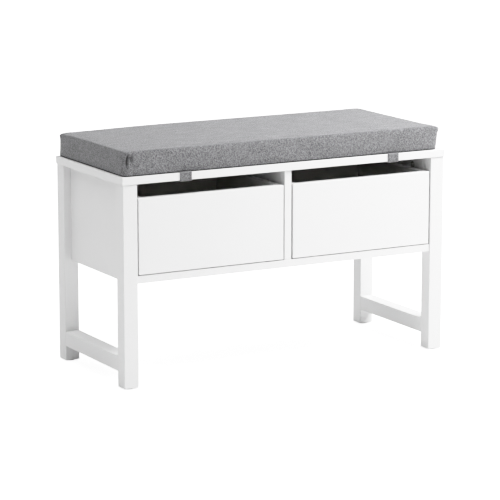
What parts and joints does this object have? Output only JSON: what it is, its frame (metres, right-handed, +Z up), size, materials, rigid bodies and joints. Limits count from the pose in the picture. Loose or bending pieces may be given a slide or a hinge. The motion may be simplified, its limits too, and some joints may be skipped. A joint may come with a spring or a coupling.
{
  "type": "entryway bench",
  "caption": "Entryway bench: a padded seat on open side frames, with inset drawers that pull by their top edges and open shoe space below.",
  "frame": {"origin": "on the floor, under the middle of the bench's footprint", "axes": "+X along the bench to the right, as a person sees who faces its drawers; +Y to its back; +Z up"},
  "size_m": [0.72, 0.303, 0.46],
  "materials": {
    "white_board": "satin",
    "white_timber": "satin",
    "hardboard": "matte",
    "beech": "matte",
    "zinc": "satin",
    "steel": "satin",
    "white_plastic": "satin",
    "grey_plastic": "matte",
    "cushion_fabric": "matte",
    "strap_fabric": "matte",
    "foam": "matte",
    "lining": "matte",
    "hook_tape": "matte"
  },
  "bodies": {
    "frame": {"back_panel": "hardboard", "bottom_shelf": "white_board", "centre_divider": "white_board", "cushion_bottom_cloth": "lining", "cushion_cover": "cushion_fabric", "cushion_foam": "foam", "divider_dowels": "beech", "divider_screw_caps": "white_plastic", "divider_screws": "steel", "front_left_glide": "white_plastic", "front_left_leg": "white_timber", "front_left_strap": "strap_fabric", "front_right_glide": "white_plastic", "front_right_leg": "white_timber", "front_right_strap": "strap_fabric", "left_side_panel": "white_board", "left_stretcher": "white_timber", "leg_top_dowels": "beech", "rear_left_glide": "white_plastic", "rear_left_leg": "white_timber", "rear_left_strap": "strap_fabric", "rear_right_glide": "white_plastic", "rear_right_leg": "white_timber", "rear_right_strap": "strap_fabric", "right_side_panel": "white_board", "right_stretcher": "white_timber", "seat_board": "white_board", "seat_cam_bolts": "steel", "seat_cam_nuts": "zinc", "shelf_cam_bolts": "steel", "shelf_cam_caps": "white_plastic", "shelf_cam_nuts": "zinc", "shelf_dowels": "beech", "side_panel_dowels": "beech", "strap_patches": "hook_tape", "stretcher_dowels": "beech"},
    "left_drawer": {"left_drawer_back": "white_board", "left_drawer_cam_bolts": "steel", "left_drawer_cam_nuts": "zinc", "left_drawer_dowels": "beech", "left_drawer_floor": "hardboard", "left_drawer_front": "white_board", "left_drawer_left_side": "white_board", "left_drawer_pads": "grey_plastic", "left_drawer_right_side": "white_board", "left_drawer_screws": "steel"},
    "right_drawer": {"right_drawer_back": "white_board", "right_drawer_cam_bolts": "steel", "right_drawer_cam_nuts": "zinc", "right_drawer_dowels": "beech", "right_drawer_floor": "hardboard", "right_drawer_front": "white_board", "right_drawer_left_side": "white_board", "right_drawer_pads": "grey_plastic", "right_drawer_right_side": "white_board", "right_drawer_screws": "steel"}
  },
  "joints": [
    {"name": "left_drawer_slide", "type": "slide", "parent": "frame", "child": "left_drawer", "axis": [0, -1, 0], "range_m": [0, 0.2]},
    {"name": "right_drawer_slide", "type": "slide", "parent": "frame", "child": "right_drawer", "axis": [0, -1, 0], "range_m": [0, 0.2]}
  ]
}
